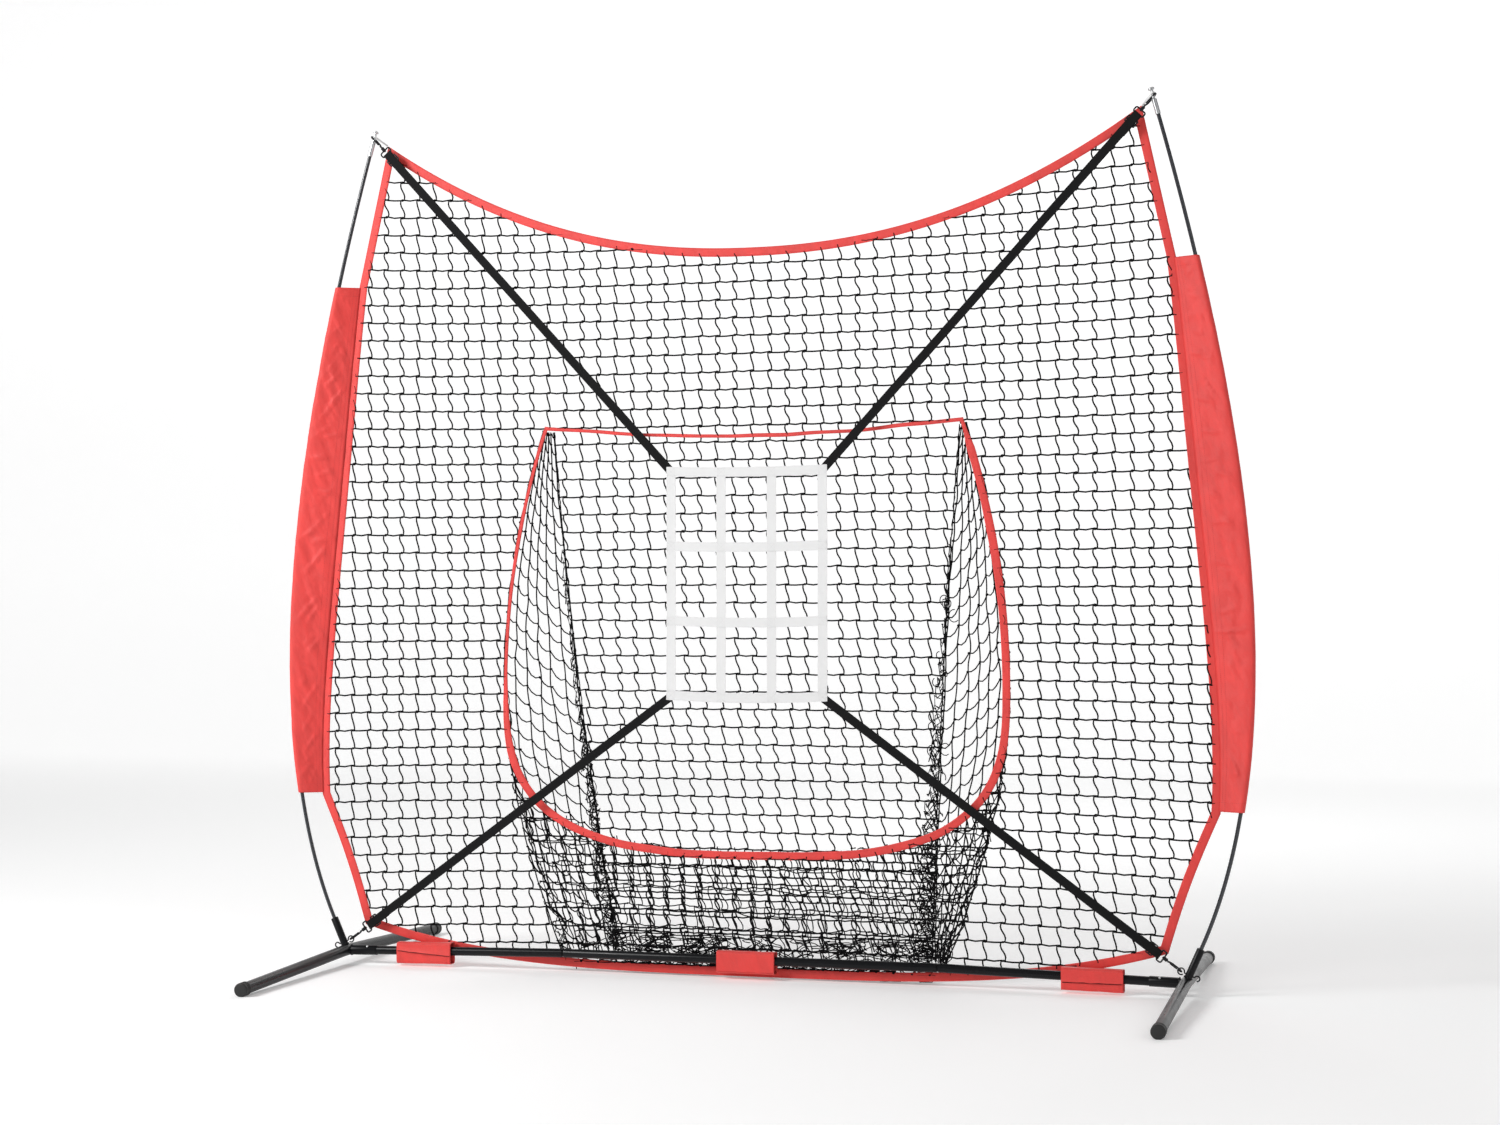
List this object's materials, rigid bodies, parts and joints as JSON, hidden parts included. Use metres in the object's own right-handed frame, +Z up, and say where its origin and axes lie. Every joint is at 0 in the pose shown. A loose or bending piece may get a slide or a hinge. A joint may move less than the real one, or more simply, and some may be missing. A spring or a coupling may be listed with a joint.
{
  "type": "pitching target net",
  "caption": "Bow-framed pitching net on a steel base, with a catch pocket, red sleeves and a strapped webbing strike-zone target.",
  "frame": {"origin": "on the floor under the middle of the crossbar, the centre of the base's footprint", "axes": "+X across the net to the right as the pitcher sees it, +Y away from the pitcher towards the catch pocket, +Z up"},
  "size_m": [2.4692, 1.181, 2.1489],
  "materials": {
    "black_steel": "satin black powder coat",
    "black_rubber": "matt",
    "black_nylon": "matt",
    "bright_steel": "bright plated",
    "black_glassfibre": "smooth, half gloss",
    "black_twine": "knotted twine",
    "red_polyester": "woven polyester",
    "white_webbing": "woven webbing",
    "black_webbing": "woven elastic webbing"
  },
  "bodies": {
    "frame": {"anchor_wire_left": "black_steel", "anchor_wire_right": "black_steel", "crossbar_left": "black_steel", "crossbar_middle": "black_steel", "crossbar_right": "black_steel", "end_cap_front_left": "black_rubber", "end_cap_front_right": "black_rubber", "end_cap_rear_left": "black_rubber", "end_cap_rear_right": "black_rubber", "foot_tube_left": "black_steel", "foot_tube_right": "black_steel", "hook_base_lower_left": "black_steel", "hook_base_lower_right": "black_steel", "hook_base_upper_left": "black_steel", "hook_base_upper_right": "black_steel", "mouth_binding": "red_polyester", "net_binding": "red_polyester", "net_panel": "black_twine", "pocket_bag": "black_twine", "pole_ferrule_left": "bright_steel", "pole_ferrule_right": "bright_steel", "pole_lower_left": "black_glassfibre", "pole_lower_right": "black_glassfibre", "pole_socket_left": "black_steel", "pole_socket_right": "black_steel", "pole_tip_left": "bright_steel", "pole_tip_right": "bright_steel", "pole_upper_left": "black_glassfibre", "pole_upper_right": "black_glassfibre", "sleeve_left": "red_polyester", "sleeve_right": "red_polyester", "socket_bush_left": "black_nylon", "socket_bush_right": "black_nylon", "strap_lower_left": "black_webbing", "strap_lower_right": "black_webbing", "strap_upper_left": "black_webbing", "strap_upper_right": "black_webbing", "stub_left": "black_steel", "stub_right": "black_steel", "tab_left": "red_polyester", "tab_middle": "red_polyester", "tab_right": "red_polyester", "target_grid": "white_webbing", "tip_loop_left": "white_webbing", "tip_loop_right": "white_webbing"},
    "snap_hook_upper_left": {"snap_hook_upper_left": "black_steel"},
    "hook_gate_upper_left": {"hook_gate_upper_left": "black_steel"},
    "strap_slider_upper_left": {"strap_slider_upper_left": "black_steel"},
    "snap_hook_upper_right": {"snap_hook_upper_right": "black_steel"},
    "hook_gate_upper_right": {"hook_gate_upper_right": "black_steel"},
    "strap_slider_upper_right": {"strap_slider_upper_right": "black_steel"},
    "snap_hook_lower_left": {"snap_hook_lower_left": "black_steel"},
    "hook_gate_lower_left": {"hook_gate_lower_left": "black_steel"},
    "strap_slider_lower_left": {"strap_slider_lower_left": "black_steel"},
    "snap_hook_lower_right": {"snap_hook_lower_right": "black_steel"},
    "hook_gate_lower_right": {"hook_gate_lower_right": "black_steel"},
    "strap_slider_lower_right": {"strap_slider_lower_right": "black_steel"},
    "snap_button_left": {"snap_button_left": "bright_steel"},
    "snap_button_right": {"snap_button_right": "bright_steel"}
  },
  "joints": [
    {"name": "hook_swivel_upper_left", "type": "hinge", "parent": "frame", "child": "snap_hook_upper_left", "pos_m": [-1.00072, 0, 2.12638], "axis": [0.6785, 0, -0.7346], "range_deg": [-15, 0]},
    {"name": "gate_hinge_upper_left", "type": "hinge", "parent": "snap_hook_upper_left", "child": "hook_gate_upper_left", "pos_m": [-0.98443, -0.00875, 2.10875], "axis": [-0.7346, 0, -0.6785], "range_deg": [0, 12], "stiffness_Nm_per_rad": 0.02, "springref_deg": -5.73},
    {"name": "slider_slide_upper_left", "type": "slide", "parent": "frame", "child": "strap_slider_upper_left", "axis": [0.6785, 0, -0.7346], "range_m": [-0.008, 0.026]},
    {"name": "hook_swivel_upper_right", "type": "hinge", "parent": "frame", "child": "snap_hook_upper_right", "pos_m": [1.00072, 0, 2.12638], "axis": [-0.6785, 0, -0.7346], "range_deg": [0, 15]},
    {"name": "gate_hinge_upper_right", "type": "hinge", "parent": "snap_hook_upper_right", "child": "hook_gate_upper_right", "pos_m": [0.98443, -0.00875, 2.10875], "axis": [-0.7346, 0, 0.6785], "range_deg": [0, 12], "stiffness_Nm_per_rad": 0.02, "springref_deg": -5.73},
    {"name": "slider_slide_upper_right", "type": "slide", "parent": "frame", "child": "strap_slider_upper_right", "axis": [-0.6785, 0, -0.7346], "range_m": [-0.008, 0.026]},
    {"name": "hook_swivel_lower_left", "type": "hinge", "parent": "frame", "child": "snap_hook_lower_left", "pos_m": [-1.05306, 0, 0.06632], "axis": [0.8071, 0, 0.5904], "range_deg": [-15, 15]},
    {"name": "gate_hinge_lower_left", "type": "hinge", "parent": "snap_hook_lower_left", "child": "hook_gate_lower_left", "pos_m": [-1.03369, -0.00875, 0.08049], "axis": [0.5904, 0, -0.8071], "range_deg": [0, 25], "stiffness_Nm_per_rad": 0.02, "springref_deg": -5.73},
    {"name": "slider_slide_lower_left", "type": "slide", "parent": "frame", "child": "strap_slider_lower_left", "axis": [0.8071, 0, 0.5904], "range_m": [-0.008, 0.026]},
    {"name": "hook_swivel_lower_right", "type": "hinge", "parent": "frame", "child": "snap_hook_lower_right", "pos_m": [1.05306, 0, 0.06632], "axis": [-0.8071, 0, 0.5904], "range_deg": [-15, 15]},
    {"name": "gate_hinge_lower_right", "type": "hinge", "parent": "snap_hook_lower_right", "child": "hook_gate_lower_right", "pos_m": [1.03369, -0.00875, 0.08049], "axis": [0.5904, 0, 0.8071], "range_deg": [0, 25], "stiffness_Nm_per_rad": 0.02, "springref_deg": -5.73},
    {"name": "slider_slide_lower_right", "type": "slide", "parent": "frame", "child": "strap_slider_lower_right", "axis": [-0.8071, 0, 0.5904], "range_m": [-0.008, 0.026]},
    {"name": "button_press_left", "type": "slide", "parent": "frame", "child": "snap_button_left", "axis": [0.0169, 0.6429, -0.7658], "range_m": [0, 0.003], "stiffness_N_per_m": 1500, "springref_m": -0.001},
    {"name": "button_press_right", "type": "slide", "parent": "frame", "child": "snap_button_right", "axis": [-0.0169, 0.6429, -0.7658], "range_m": [0, 0.003], "stiffness_N_per_m": 1500, "springref_m": -0.001}
  ]
}
